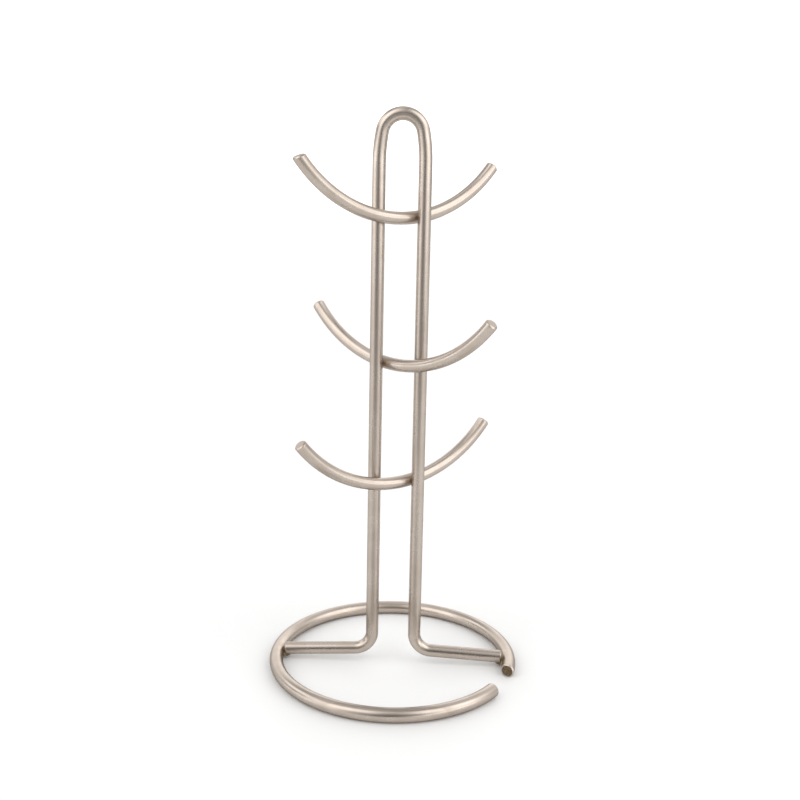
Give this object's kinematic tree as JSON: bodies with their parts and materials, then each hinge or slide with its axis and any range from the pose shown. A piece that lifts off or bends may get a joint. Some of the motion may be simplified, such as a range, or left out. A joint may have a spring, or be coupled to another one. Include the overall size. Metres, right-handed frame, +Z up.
{
  "type": "mug tree",
  "caption": "Free-standing wire mug tree: an open round base ring, a tall looped upright and curved arms welded across it, their raised ends forming hooks for mugs' handles.",
  "frame": {"origin": "centre of the base ring, on the surface it rests on", "axes": "+Z up; +X to the right, along the plane of the looped upright; -Y towards the front; the ring's gap is at the front right"},
  "size_m": [0.1662, 0.1662, 0.3641],
  "materials": {
    "satin_rod": "satin",
    "weld": "rough, heat tinted"
  },
  "bodies": {
    "root": {"base_ring": "satin_rod", "upright_loop": "satin_rod", "top_arm": "satin_rod", "middle_arm": "satin_rod", "bottom_arm": "satin_rod", "weld_top_left": "weld", "weld_top_right": "weld", "weld_middle_left": "weld", "weld_middle_right": "weld", "weld_bottom_left": "weld", "weld_bottom_right": "weld", "weld_foot_left": "weld", "weld_foot_right": "weld"}
  },
  "joints": []
}
